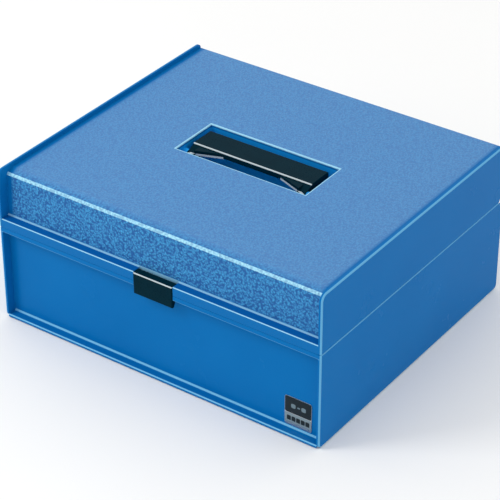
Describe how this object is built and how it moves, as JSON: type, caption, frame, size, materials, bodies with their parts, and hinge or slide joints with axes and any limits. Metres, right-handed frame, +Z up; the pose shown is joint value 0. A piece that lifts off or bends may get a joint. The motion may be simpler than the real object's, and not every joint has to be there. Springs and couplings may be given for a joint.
{
  "type": "archival box",
  "caption": "Hinged plastic storage box with proud side cheeks, grained lid, folding handle sunk in a well in the top and a swinging front latch.",
  "frame": {"origin": "on the surface the box stands on, under the middle of its outline", "axes": "+X to the right as seen from the front, +Y from the front to the back, +Z up"},
  "size_m": [0.33, 0.2878, 0.1488],
  "materials": {
    "case": "smooth moulded",
    "grained": "leather-grained moulded panels",
    "grip": "satin moulded",
    "steel": "zinc plated",
    "rubber": "matt",
    "plate": "satin with a black printed field"
  },
  "bodies": {
    "base": {"base_shell": "case", "base_side_left": "case", "base_side_right": "case", "hinge_base_leaf_left": "steel", "hinge_base_leaf_right": "steel", "hinge_pin_left": "steel", "hinge_pin_right": "steel", "base_hinge_rivets": "steel", "rubber_feet": "rubber", "name_plate": "plate"},
    "lid": {"lid_shell": "grained", "lid_side_left": "case", "lid_side_right": "case", "hinge_lid_leaf_left": "steel", "hinge_lid_leaf_right": "steel", "lid_hinge_rivets": "steel", "handle_cup": "case", "cup_screws": "steel", "handle_pin_left": "steel", "handle_pin_right": "steel", "latch_pin": "steel"},
    "handle": {"handle_grip": "grip"},
    "latch": {"latch_clip": "grip"}
  },
  "joints": [
    {"name": "lid_hinge", "type": "hinge", "parent": "base", "child": "lid", "pos_m": [0, 0.1407, 0.093], "axis": [-1, 0, 0], "range_deg": [0, 98]},
    {"name": "handle_pivot", "type": "hinge", "parent": "lid", "child": "handle", "pos_m": [0, -0.0098, 0.1362], "axis": [1, 0, 0], "range_deg": [0, 100]},
    {"name": "latch_pivot", "type": "hinge", "parent": "lid", "child": "latch", "pos_m": [0, -0.1375, 0.0986], "axis": [-1, 0, 0], "range_deg": [0, 70]}
  ]
}
